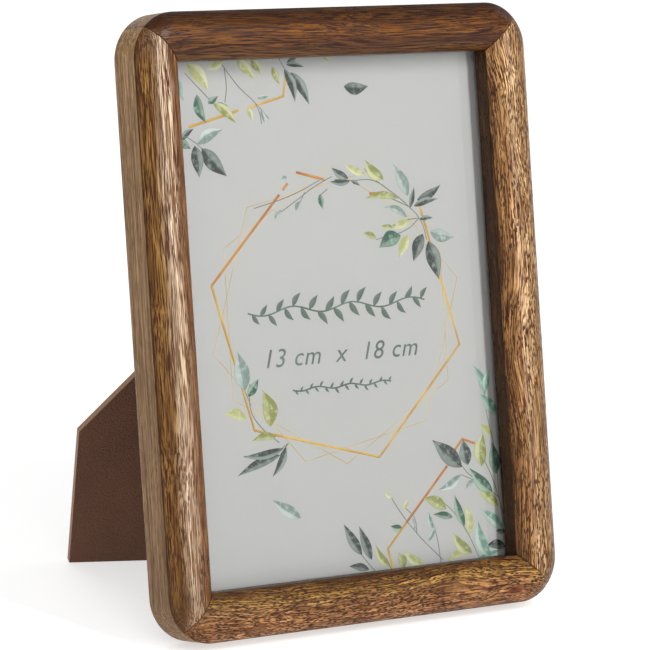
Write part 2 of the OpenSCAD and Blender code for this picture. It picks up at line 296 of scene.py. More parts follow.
glass_front = -glass_box[0][1]
rabbet_edge = outer_w / 2 - glass_box[1][0] - GLASS_PLAY           # inset of the rabbet's wall
cap_rise = rail_t - BAND_H
cap_r = ((rail_w / 2) ** 2 + cap_rise ** 2) / (2 * cap_rise)
cap_centre = rail_t - cap_r


def moulding_section():
    """Corners of the section as (inset from the outer edge, height above the back), in order."""
    outline = [(ARRIS, 0), (ARRIS * 0.3, ARRIS * 0.3), (0, ARRIS)]
    outline += [(0, BAND_H * k / 6) for k in range(1, 6)]
    outline += [(0, BAND_H - ARRIS / 2), (ARRIS / 4, BAND_H + ARRIS / 6)]
    for k in range(1, CAP_POINTS):
        inset = rail_w * (0.5 - 0.5 * math.cos(math.pi * k / CAP_POINTS))
        outline.append((inset, cap_centre + math.sqrt(cap_r ** 2 - (inset - rail_w / 2) ** 2)))
    outline += [(rail_w - ARRIS / 4, BAND_H + ARRIS / 6), (rail_w, BAND_H - ARRIS / 2)]
    outline += [(rail_w, BAND_H + (glass_front - BAND_H) * k / 4) for k in range(1, 5)]
    outline += [(rabbet_edge, glass_front)]
    outline += [(rabbet_edge * (1 - k / 5), 0) for k in range(0, 5)]
    return outline


section_mesh = bpy.data.meshes.new("moulding_section")
section_mesh.from_pydata([(inset, height, 0) for inset, height in moulding_section()], [], [])
section = bpy.data.objects.new("moulding_section", section_mesh)
print(len(section_mesh.vertices), "corners in the section, cap radius", round(cap_r, 2), "mm")


# %% [markdown]
# ### The rail tree
# The tree's inputs are the sizes a joiner would ask for. Its grid rows read the section's corners by
# their index, so none is cut off, and an extra row closes the loop. Rings of the grid crowd towards
# the ends, where the shape turns. Faint slow noise stands for hand sanding.

# %% Rail tree
RINGS = 150              # grid lines along a rail
JOIN_EASE = 0.35         # mm over which the moulding turns into the worn corner
GLUE_LINE = 0.3          # mm beside a mitre that roll in, by GLUE_DEPTH at the joint
GLUE_DEPTH = 0.16
SANDING = 0.3            # mm between the highest and lowest that sanding can leave


def rail_tree():
    """Makes a rail along x, mitred at both ends and worn down at its outer corners."""
    tree, node, given = new_tree("mitred_rail", {
        "Section": "Object", "Length": "Float", "Width": "Float", "Thickness": "Float", "Band": "Float",
        "Corner radius": "Float", "Rabbet": "Float", "Cap radius": "Float", "Corners": "Int",
        "Sanding seed": "Float", "Wood": "Material"})
    corner_r, half_width = given["Corner radius"], node("Math DIVIDE", given["Width"], 2)

    # Place of a grid point: how far along (0 in the middle, 1 at a mitre) and which section corner
    rows = node("Math ADD", given["Corners"], 1)
    grid = node("MeshGrid", 2.0, 1.0, RINGS, rows)
    lengthwise = node("SeparateXYZ", node("InputPosition"), out="X")
    side = node("Math SIGN", lengthwise)
    even = node("Math ABSOLUTE", lengthwise)
    along = node("Math MULTIPLY", even, node("Math SUBTRACT", 2, even))
    row = node("Math MODULO", node("Math MODULO", node("InputIndex"), rows), given["Corners"])
    section_points = node("ObjectInfo", given["Section"], out="Geometry")
    corner = node("SampleIndex FLOAT_VECTOR", section_points, node("InputPosition"), row)
    corner = node("SeparateXYZ", corner).node.outputs
    inset, height = corner["X"], corner["Y"]

    # Round the corner: an arc about the corner's centre, at the same inset all the way
    half = node("Math DIVIDE", given["Length"], 2)
    straight = node("Math SUBTRACT", half, corner_r)
    swing = node("Math MAXIMUM", node("Math SUBTRACT", corner_r, inset), 0.01)
    reach = node("Math ADD", straight, node("Math MULTIPLY", swing, math.pi / 4))
    travel = node("Math MULTIPLY", along, reach)
    past = node("Math MAXIMUM", node("Math SUBTRACT", travel, straight), 0)
    angle = node("Math DIVIDE", past, swing)
    arc_x = node("Math MULTIPLY", swing, node("Math SINE", angle))
    round_x = node("Math ADD", node("Math MINIMUM", travel, straight), arc_x)
    round_z = node("Math SUBTRACT", corner_r, node("Math MULTIPLY", swing, node("Math COSINE", angle)))

    # Straight into the mitre, for the inner half, and a smooth change from one to the other
    mitre_x = node("Math MULTIPLY", along, node("Math SUBTRACT", half, inset))
    from_inset = node("Math MULTIPLY", given["Width"], 0.45)
    to_inset = node("Math MULTIPLY", given["Width"], 0.8)
    inner_half = node("MapRange SMOOTHSTEP", inset, from_inset, to_inset)
    x = node("Mix", inner_half, round_x, mitre_x)
    z = node("Mix", inner_half, round_z, inset)

    def arch(distance):
        """Height of the half-round at a distance from its outer edge."""
        offset = node("Math SUBTRACT", distance, half_width)
        run = node("Math POWER", offset, 2)
        rise = node("Math SQRT", node("Math SUBTRACT", node("Math POWER", given["Cap radius"], 2), run))
        return node("Math ADD", rise, node("Math SUBTRACT", given["Thickness"], given["Cap radius"]))

    # Height of the moulding and of the worn corner there, and the lower of the two, softly
    beyond = node("Math MAXIMUM", node("Math SUBTRACT", x, straight), 0)
    to_centre = node("Math SUBTRACT", corner_r, z)
    squares = node("Math ADD", node("Math POWER", beyond, 2), node("Math POWER", to_centre, 2))
    worn = node("Math SUBTRACT", corner_r, node("Math SQRT", squares))
    worn = node("Math MAXIMUM", node("Math MINIMUM", worn, half_width), 0)
    moulded = arch(node("Math MINIMUM", z, given["Width"]))
    lower = node("Math SMOOTH_MIN", moulded, arch(worn), JOIN_EASE)
    plain = node("Math SMOOTH_MIN", arch(inset), arch(node("Math MINIMUM", inset, half_width)), JOIN_EASE)
    top_side = node("MapRange SMOOTHSTEP", height, given["Rabbet"], given["Band"])
    change = node("Math MULTIPLY", top_side, node("Math SUBTRACT", lower, plain))
    height = node("Math ADD", height, change)

    # The glued joint shows as a hair line, where the surface rolls in
    from_mitre = node("Math MULTIPLY", half, node("Math SUBTRACT", 1, along))
    roll_in = node("MapRange SMOOTHSTEP", from_mitre, 0.0, GLUE_LINE, GLUE_DEPTH, 0.0)
    height = node("Math SUBTRACT", height, node("Math MULTIPLY", roll_in, top_side))

    # Hand sanding: a slow rise and fall of a tenth of a millimetre
    x = node("Math MULTIPLY", x, side)
    place = node("CombineXYZ", x, inset, given["Sanding seed"])
    sanding = node("Math SUBTRACT", node("TexNoise", place, 0.05, 1.0), 0.5)
    wave = node("Math MULTIPLY", node("Math MULTIPLY", sanding, SANDING), top_side)
    height = node("Math ADD", height, wave)

    target = node("CombineXYZ", x, node("Math MULTIPLY", height, -1), z)
    placed = node("SetPosition", grid, named={"Position": target})
    whole = node("RealizeInstances", placed)
    merged = node("MergeByDistance", whole, named={"Distance": WELD / MM})
    smooth = node("SetShadeSmooth", merged)
    node("GroupOutput", node("SetMaterial", smooth, named={"Material": given["Wood"]}))
    return tree


rail_maker = rail_tree()
print(len(rail_maker.nodes), "nodes in the rail tree")


# %% [markdown]
# ### From a tree to a plain mesh
# A tree is run on a throwaway object, its result becomes a plain mesh, and the modifier goes with the
# throwaway. The mesh is then carried from the bench into place, so the finished piece's object sits
# unturned at the origin, and its ends are closed.

# %% Running a tree
def grow(name, tree, values, source=None):
    """Runs a Geometry Nodes tree and returns its result as a plain mesh named after the piece."""
    carrier = bpy.data.objects.new(name + "_carrier", source or bpy.data.meshes.new(name + "_start"))
    bpy.context.scene.collection.objects.link(carrier)
    modifier = carrier.modifiers.new("tree", "NODES")
    modifier.node_group = tree
    for item in tree.interface.items_tree:
        if item.in_out == "INPUT" and item.name in values:
            modifier[item.identifier] = values[item.name]
    carrier.update_tag()
    evaluated = carrier.evaluated_get(bpy.context.evaluated_depsgraph_get())
    mesh = bpy.data.meshes.new_from_object(evaluated)
    mesh.name = name
    bpy.data.objects.remove(carrier)
    return mesh


def finish_piece(name, mesh, placing, body, replaced=(), shade_angle=None):
    """Carries a bench mesh into place and gives it to a body of the model."""
    mesh.transform(placing)
    if placing.determinant() < 0:
        mesh.flip_normals()
    if shade_angle is not None:
        mesh.shade_smooth()
        mesh.set_sharp_from_angle(angle=math.radians(shade_angle))
    piece = bpy.data.objects.new(name, mesh)
    bpy.context.scene.collection.objects.link(piece)
    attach(piece, body)
    if replaced:
        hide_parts(*replaced)
    print(f"{name}: {len(mesh.vertices)} vertices, {len(mesh.polygons)} faces")
    return piece


def close_holes(mesh):
    """Fills the open ends of a tube and turns every face outwards."""
    work = bmesh.new()
    work.from_mesh(mesh)
    bmesh.ops.holes_fill(work, edges=[e for e in work.edges if e.is_boundary])
    bmesh.ops.recalc_face_normals(work, faces=work.faces)
    work.to_mesh(mesh)
    work.free()


# %% [markdown]
# ## Mango wood
# Mango is a brown hardwood with large open pores. Stained and rubbed with a satin lacquer, each board
# differs: bands of honey, umber and grey-beige run its length, growth rings cut them as dark lines, and
# the pores show as short dark dashes. Where the grain rises through the board the dashes lean across it.
#
# The pattern is solid, like the wood: it lives in millimetres along, through and across the board, so
# it runs over edges without a seam. The rings are circles round a pith that slants through the board,
# which is what draws the arched figure on a real one. Slow noise bends everything together, as a
# tree's growth does. The board's own bands bring the colour, and on the stiles one pale band down the
# crown is a painted highlight. Fibres, rings and worn ends turn it towards umber, and painted light and
# shade can make one end of a board lighter and the other darker. Last come the near-black pores, the
# crease beside the crown, the glue line at the mitres and, on one board, a reddish knot.

# %% Wood finish
def mango_wood(name, turn, bands, pith, seed, slant=0.0, pores=0.5, rings=0.5, ring_gap=3.2, bend=1.0,
               pore_size=(3.2, 0.52), painted_light_fade=0.0, knot=None):
    """A satin-lacquered board. turn is the rail's turn on the bench. bands are its colours across the
    rail, as (mm from the outer edge, hex). pith is (mm across, mm deep, mm deeper per mm along). slant
    is the pores' lean in degrees, and pore_size is (mm long, mm wide) with the gaps between them.
    The fade is painted light and shade: it lightens one end and darkens the other, and knot is (mm along, mm
    across)."""
    material, node = new_material(name)

    def stretched_noise(place, stretch, detail=2.0, roughness=0.5):
        """Noise with its own number of patches per millimetre along, through and across."""
        return node("TexNoise", node("VectorMath MULTIPLY", place, stretch), 1.0, detail, roughness)

    # Object metres to bench millimetres, then to the board: x along, y through, z in from its outer edge
    half_across = (outer_h if turn in (0, 180) else outer_w) / 2
    half_along = (outer_w if turn in (0, 180) else outer_h) / 2
    board = node("Mapping", bench_mm(node), (0, 0, half_across), (0, math.radians(-turn), 0))
    here = node("SeparateXYZ", board).node.outputs
    x, y, z = here["X"], here["Y"], here["Z"]
    shift = (seed * 37.0, seed * 11.0, seed * 5.0)
    seeded = node("VectorMath ADD", board, shift)

    # The grain wanders: slow noise pushes the pattern across the board and through it
    drift = node("Math SUBTRACT", stretched_noise(seeded, (0.014, 0.04, 0.04), 1.0), 0.5)
    wobble = node("Math SUBTRACT", stretched_noise(seeded, (0.06, 0.2, 0.2), 2.0), 0.5)
    far, near = node("Math MULTIPLY", drift, 16 * bend), node("Math MULTIPLY", wobble, 1.5 * bend)
    push = node("Math ADD", far, near)
    grain = node("VectorMath ADD", seeded, node("CombineXYZ", 0.0, node("Math MULTIPLY", push, 0.7), push))

    # Growth rings round the slanting pith
    off_across = node("Math ADD", node("Math SUBTRACT", z, pith[0]), push)
    off_deep = node("Math MULTIPLY_ADD", x, -pith[2], node("Math SUBTRACT", y, pith[1]))
    off_deep = node("Math ADD", off_deep, push)
    squares = [node("Math POWER", node("Math ABSOLUTE", off), 2) for off in (off_across, off_deep)]
    from_pith = node("Math SQRT", node("Math ADD", *squares))
    ring_line = node("Math POWER", node("Math FRACT", node("Math DIVIDE", from_pith, ring_gap)), 3)

    # Fibres in two sizes, and pores about 2 mm long and a third of a millimetre wide
    fibre = stretched_noise(grain, (0.09, 2.7, 2.7), 2.0, 0.6)
    streak = stretched_noise(grain, (0.022, 0.62, 0.62), 4.0, 0.65)
    crowd = node("MapRange SMOOTHSTEP", stretched_noise(seeded, (0.03, 0.12, 0.12), 2.0), 0.36, 0.6)
    per_pore = (1 / pore_size[0], 1 / pore_size[1], 1 / pore_size[1])
    leaning = node("Mapping", grain, (0, 0, 0), (0, math.radians(slant), 0), per_pore)
    cells = node("TexVoronoi", leaning, 1.0)
    pore = node("MapRange SMOOTHSTEP", cells, 0.16 + 0.12 * pores, 0.27 + 0.12 * pores, 1.0, 0.0)
    open_share = node("Math MULTIPLY", node("Math ADD", crowd, 0.15), pores * 1.5)
    pore = node("Math MULTIPLY", pore, node("Math MINIMUM", open_share, 1.0))

    # Colour from the bands, grey-beige and straight on the flat band outside, dark on the inner wall
    sway = node("Math ADD", node("Math MULTIPLY", drift, 5 * bend), node("Math MULTIPLY", wobble, 3.5))
    place = node("Math DIVIDE", node("Math ADD", z, sway), rail_w)
    colour = node("ValToRGB B_SPLINE", place, stops=[(mm / rail_w, hex_colour) for mm, hex_colour in bands])
    below_crown = node("MapRange SMOOTHSTEP", y, -BAND_H - 0.2, -BAND_H + 0.35)
    outer_side = node("MapRange SMOOTHSTEP", z, rail_w * 0.6, rail_w * 0.4)
    inner_side = node("MapRange SMOOTHSTEP", z, rail_w * 0.8, rail_w * 0.95)
    on_band = node("Math MULTIPLY", below_crown, outer_side)
    inner_wall = node("Math MULTIPLY", below_crown, inner_side)
    band_fibre = stretched_noise(seeded, (0.02, 1.1, 1.1), 4.0, 0.6)
    band_fibre = node("MapRange SMOOTHSTEP", band_fibre, 0.3, 0.7)
    band_grain = node("Mix RGBA", band_fibre, linear("#6a4c2c"), linear("#b08c62"))
    colour = node("Mix RGBA", node("Math MULTIPLY", on_band, 0.85), colour, band_grain)
    colour = node("Mix RGBA", node("Math MULTIPLY", inner_wall, 0.85), colour, linear("#402810"))

    # Shade: 1 leaves a colour as it is, 0 turns it to umber. Fibres and rings are softer on the band
    fibre_shade = node("MapRange SMOOTHSTEP", fibre, 0.4, 0.6, -0.2, 1.45)
    streak_shade = node("MapRange SMOOTHSTEP", streak, 0.34, 0.66, 0.4, 1.25)
    ring_shade = node("Math SUBTRACT", 1, node("Math MULTIPLY", ring_line, 0.75 * rings))
    shade = node("Math MULTIPLY", node("Math MULTIPLY", fibre_shade, streak_shade), ring_shade)
    soften = node("Math SUBTRACT", 1, node("Math MULTIPLY", on_band, 0.55))
    shade = node("Math ADD", 1, node("Math MULTIPLY", node("Math SUBTRACT", shade, 1), soften))

    # Worn end grain near the corners is darker, and painted light and shade make one end of the board lighter
    # and the other darker
    near_end = node("MapRange SMOOTHSTEP", node("Math ABSOLUTE", x), half_along - 20, half_along - 8)
    end_grain = node("Math MULTIPLY", near_end, node("MapRange SMOOTHSTEP", z, 9.5, 3.5))
    end_grain = node("Math MULTIPLY", end_grain, node("Math SUBTRACT", 1, on_band))
    end_shade = node("Math SUBTRACT", 1, node("Math MULTIPLY", end_grain, 0.6))
    shade = node("Math MULTIPLY", shade, end_shade)
    shade = node("Math MULTIPLY", shade, node("Math MULTIPLY_ADD", x, painted_light_fade / half_along, 1))
    umber = node("VectorMath MULTIPLY", colour, (0.32, 0.22, 0.14))
    colour = node("Mix RGBA", shade, umber, colour, clamp_factor=False)

    # A knot, then everything that is nearly black: pores, the crease beside the crown, the glue line
    if knot:
        to_knot = node("VectorMath SUBTRACT", grain, (knot[0] + shift[0], 0, knot[1] + shift[2]))
        to_knot = node("VectorMath MULTIPLY", to_knot, (0.45, 0.0, 0.8))
        spot = node("MapRange SMOOTHSTEP", node("VectorMath LENGTH", to_knot), 0.4, 2.6, 0.95, 0.0)
        colour = node("Mix RGBA", spot, colour, linear("#5e2409"))
    off_crease = node("Math ABSOLUTE", node("Math ADD", y, BAND_H + 0.2))
    crease = node("MapRange SMOOTHSTEP", off_crease, 0.0, 0.45, 1.0, 0.0)
    crease = node("Math MULTIPLY", crease, node("MapRange SMOOTHSTEP", z, 2.5, 1.5))
    off_mitre = node("Math SUBTRACT", half_along, node("Math ABSOLUTE", x))
    off_mitre = node("Math ABSOLUTE", node("Math SUBTRACT", off_mitre, z))
    glue_line = node("MapRange SMOOTHSTEP", off_mitre, 0.1, 0.4, 0.75, 0.0)
    pits = node("Math MULTIPLY", node("Math MULTIPLY", pore, 0.9), soften)
    pits = node("Math MAXIMUM", pits, node("Math MULTIPLY", crease, 0.7))
    pits = node("Math MAXIMUM", pits, glue_line)
    colour = node("Mix RGBA", pits, colour, linear("#2a170b"))

    # The lacquer shines most on dense fibre, and is dull in the pores and on the band
    gloss = node("MapRange SMOOTHSTEP", fibre, 0.36, 0.66, 0.4, 0.21)
    gloss = node("Math ADD", gloss, node("Math MULTIPLY", pore, 0.3))
    hollow = node("Math ADD", pore, node("Math MULTIPLY", ring_line, 0.2))
    relief = node("Math SUBTRACT", node("Math MULTIPLY", fibre, 0.9), hollow)
    return coat(material, {
        "Base Color": colour,
        "Specular IOR Level": 0.2,
        "Roughness": node("Math ADD", gloss, node("Math MULTIPLY", on_band, 0.15)),
        "Normal": node("Bump", named={"Height": relief, "Strength": 0.5, "Distance": 0.16 * MM})})


# %% [markdown]
# ### Four boards
# The top rail is a dark reddish board. The bottom one was cut across a curve in the tree, so its rings
# arch and its pores crowd towards one end. The left stile is streaked from umber at the outside to
# orange inside, with a pale band along its crown that is a painted highlight. The right stile is golden,
# with a paler band down its crown that is a painted highlight too, and its pores lean across it. On
# both stiles the colour has painted light towards the top and painted shade towards the foot.

# %% The boards
DARK_BOARD = mango_wood(
    "mango wood, stained and lacquered, dark board", 180,
    [(0, "#3d230b"), (4, "#502e0f"), (8, "#704419"), (12, "#4c2a0d"), (16, "#644220")],
    (6, 30, 0.02), 3.1, slant=3, pores=0.6, rings=0.3, ring_gap=2.6, bend=0.5)
FLOWING_BOARD = mango_wood(
    "mango wood, stained and lacquered, flowing board", 0,
    [(0, "#9a683c"), (5, "#a4764a"), (9, "#956a3c"), (11.5, "#a88342"), (14, "#7c562a"), (16, "#60411d")],
    (3, -6, 0.17), 7.3, slant=14, pores=1.7, rings=1.0, ring_gap=2.1, bend=0.9, pore_size=(1.9, 0.5),
    knot=(56, 5))
# Painted highlight: the pale band 8.5 mm in stands for the lamp's streak down the crown. The fade is painted
# light at the top and painted shade at the foot.
STREAKY_BOARD_PAINTED_LIGHT = mango_wood(
    "mango wood, stained and lacquered, streaky board", 90,
    [(0, "#6a4a28"), (2.5, "#85602f"), (5, "#6e4f2c"), (8.5, "#dcc2a6"), (11, "#72543a"),
     (13.5, "#8c5a2a"), (16, "#6e4822")],
    (22, 24, 0.03), 1.7, slant=2, pores=0.7, rings=0.45, ring_gap=2.8, bend=0.45, pore_size=(4.2, 0.42),
    painted_light_fade=-0.36)
# Painted highlight: the paler band 8 mm in stands for the lamp's streak down the crown. The fade is painted
# light at the top and painted shade at the foot.
GOLDEN_BOARD_PAINTED_LIGHT = mango_wood(
    "mango wood, stained and lacquered, golden board", -90,
    [(0, "#987750"), (4, "#90683a"), (8, "#c0a077"), (12, "#a87a4a"), (16, "#5a3c1c")],
    (-6, 16, 0.12), 5.9, slant=-24, pores=1.4, rings=0.5, ring_gap=3.2, bend=0.9, pore_size=(2.4, 0.5),
    painted_light_fade=0.26)
# Each rail's turn on the bench, its length and its board
RAILS = {
    "rail_top": (180, outer_w, DARK_BOARD),
    "rail_bottom": (0, outer_w, FLOWING_BOARD),
    "stile_left": (90, outer_h, STREAKY_BOARD_PAINTED_LIGHT),
    "stile_right": (-90, outer_h, GOLDEN_BOARD_PAINTED_LIGHT),
}
print("boards:", [rail[2].name for rail in RAILS.values()])


# %% [markdown]
# ### Laying the four rails
# The tree makes a rail along x with its outer edge on z = 0. Turning it about y and moving it out to
# its side lays it in the frame.

# %% Make the rails
CREASE_ANGLE = 38        # degrees between faces from which an edge stays sharp
SLOT_PLAY = 0.05         # mm round a nail in its slot


def at_side(turn, half):
    """Carries a rail from the x axis to its side of the frame, half a frame away."""
    return BENCH @ Matrix.Rotation(math.radians(turn), 4, "Y") @ Matrix.Translation((0, 0, -half))


def cut_nail_slots(piece):
    """Cuts the slots of the corner nails into a rail, a hair wider than the nails and open at the back."""
    cutter_mesh = frame["nodes"]["corner_v_nails"].data.copy()
    work = bmesh.new()
    work.from_mesh(cutter_mesh)
    bmesh.ops.remove_doubles(work, verts=work.verts, dist=WELD)
    work.normal_update()
    for vertex in work.verts:
        vertex.co += vertex.normal * SLOT_PLAY * MM
        on_bench = BENCH.inverted() @ vertex.co
        if on_bench.y > -1:
            vertex.co = BENCH @ Vector((on_bench.x, 0.5, on_bench.z))
    work.to_mesh(cutter_mesh)
    work.free()
    cutter = bpy.data.objects.new("nail_slots", cutter_mesh)
    bpy.context.scene.collection.objects.link(cutter)
    slots = piece.modifiers.new("nail_slots", "BOOLEAN")
    slots.object = cutter
    slots.solver = "EXACT"
    cut = bpy.data.meshes.new_from_object(piece.evaluated_get(bpy.context.evaluated_depsgraph_get()))
    piece.modifiers.remove(slots)
    bpy.data.objects.remove(cutter)
    cut.set_sharp_from_angle(angle=math.radians(CREASE_ANGLE))
    cut.name = piece.name
    piece.data = cut
    print(f"{piece.name}: {len(cut.polygons)} faces with its nail slots")


rails = {}
for number, (name, (turn, length, wood)) in enumerate(RAILS.items()):
    mesh = grow(name + "_rounded", rail_maker, {
        "Section": section, "Length": length, "Width": rail_w, "Thickness": rail_t, "Band": BAND_H,
        "Corner radius": CORNER_R, "Rabbet": glass_front, "Cap radius": cap_r,
        "Corners": len(section_mesh.vertices), "Sanding seed": 10.0 * number, "Wood": wood})
    close_holes(mesh)
    half = (outer_h if turn in (0, 180) else outer_w) / 2
    rails[name] = finish_piece(name + "_rounded", mesh, at_side(turn, half), "frame",
                               [name], CREASE_ANGLE)
    cut_nail_slots(rails[name])
print("rails laid:", list(rails))


# %% [markdown]
# ## Glass
# Picture glass is float glass, 2 mm thick, with cut edges. Seen square on it is clear, and it mirrors
# more and more towards a grazing view. Here it is a mirror whose opacity is the Fresnel share that real
# glass reflects, so light reaches the card behind it without the noise of true refraction.

# %% Picture glass
def dress(name, material):
    """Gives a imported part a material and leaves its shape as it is."""
    frame["nodes"][name].data.materials.clear()
    frame["nodes"][name].data.materials.append(material)


material, node = new_material("float glass, clear, polished")
dress("glass_pane", coat(material, {
    "Base Color": linear("#f6f7f6"), "Metallic": 1.0, "Roughness": 0.03,
    "Alpha": node("Math MULTIPLY", node("Fresnel", 1.5), 0.8)}))
print("glass", [round(float(s), 1) for s in glass_box[1] - glass_box[0]], "mm")


# %% [markdown]
# ## The printed card
# A frame is sold with a card in it that shows its print size, here 13 x 18 cm, inside a ring of
# hexagons and leaves. The card is matt coated board, offset printed. Its artwork could be painted by
# the material, but leaves are easier to draw as flat shapes, so each is a sliver of mesh lying in the
# tenth of a millimetre between card and glass.
#
# One Geometry Nodes tree draws every leaf. It reads a cloud of points, one for each leaf's stalk end,
# with three values: how far and which way the leaf reaches, how broad it is, and its tone.

# %% Card stock
material, node = new_material("coated card, matt, printed")
position = bench_mm(node)
mottle = node("TexNoise", position, 0.08, 3.0)
fibres = node("TexNoise", position, 4.0, 2.0)
dress("print_card", coat(material, {
    "Base Color": node("Mix RGBA", mottle, linear("#adadab"), linear("#b0b0ae")), "Roughness": 0.7,
    "Normal": node("Bump", named={"Height": fibres, "Strength": 0.15, "Distance": 0.02 * MM})}))
PRINT_Y = card_box[0][1]
print("card front at", round(float(PRINT_Y), 2), "mm")


# %% The leaf tree
def leaf_tree():
    """Draws a flat leaf on every point, as long and broad as the point says."""
    tree, node, given = new_tree("printed_leaves", {
        "Points": "Geometry", "Curl": "Float", "Seed": "Int", "Ink": "Material"})

    # A unit leaf: a grid from stalk (0) to tip (1), and from edge (-1) to edge (1)
    grid = node("MeshGrid", 1.0, 2.0, 13, 5)
    flat = node("SeparateXYZ", node("InputPosition")).node.outputs
    leaf = node("StoreNamedAttribute FLOAT", grid,
                named={"Name": "along", "Value": node("Math ADD", flat["X"], 0.5)})
    leaf = node("StoreNamedAttribute FLOAT", leaf, named={"Name": "across", "Value": flat["Y"]})
    rooted = node("StoreNamedAttribute FLOAT_VECTOR", given["Points"],
                  named={"Name": "root", "Value": node("InputPosition")})
    rooted = node("StoreNamedAttribute FLOAT", rooted,
                  named={"Name": "chance", "Value": node("RandomValue FLOAT", named={"Seed": given["Seed"]})})
    leaves = node("InstanceOnPoints", named={"Points": rooted, "Instance": leaf})
    whole = node("RealizeInstances", leaves)

    # Bend each one into its own place: out along its reach, and across it by an almond's width
    along, across, breadth, luck = [node("InputNamedAttribute FLOAT", name, out="Attribute")
                                    for name in ("along", "across", "breadth", "chance")]
    reach, root = [node("InputNamedAttribute FLOAT_VECTOR", name, out="Attribute")
                   for name in ("reach", "root")]
    sideways = node("VectorMath NORMALIZE", node("VectorMath CROSS_PRODUCT", reach, (0.0, 1.0, 0.0)))
    almond = node("Math SINE", node("Math MULTIPLY", node("Math POWER", along, 0.78), math.pi))
    almond = node("Math POWER", node("Math MAXIMUM", almond, 0), 1.1)
    half_width = node("Math MULTIPLY", across, breadth)
    half_width = node("Math MULTIPLY", half_width, node("Math MULTIPLY", almond, 0.5))
    arc = node("Math SINE", node("Math MULTIPLY", along, math.pi))
    sway = node("Math MULTIPLY", node("Math SUBTRACT", luck, 0.5), given["Curl"])
    sway = node("Math MULTIPLY", sway, node("Math MULTIPLY", arc, node("VectorMath LENGTH", reach)))
    outward = node("VectorMath SCALE", reach, along)
    aside = node("VectorMath SCALE", sideways, node("Math ADD", half_width, sway))
    layer = node("CombineXYZ", 0.0, node("Math MULTIPLY", luck, -0.03))
    midrib = node("VectorMath ADD", root, outward)
    place = node("VectorMath ADD", midrib, node("VectorMath ADD", aside, layer))
    placed = node("SetPosition", whole, named={"Position": place})
    merged = node("MergeByDistance", placed, named={"Distance": 0.001})
    node("GroupOutput", node("SetMaterial", merged, named={"Material": given["Ink"]}))
    return tree


leaf_maker = leaf_tree()
print(len(leaf_maker.nodes), "nodes in the leaf tree")
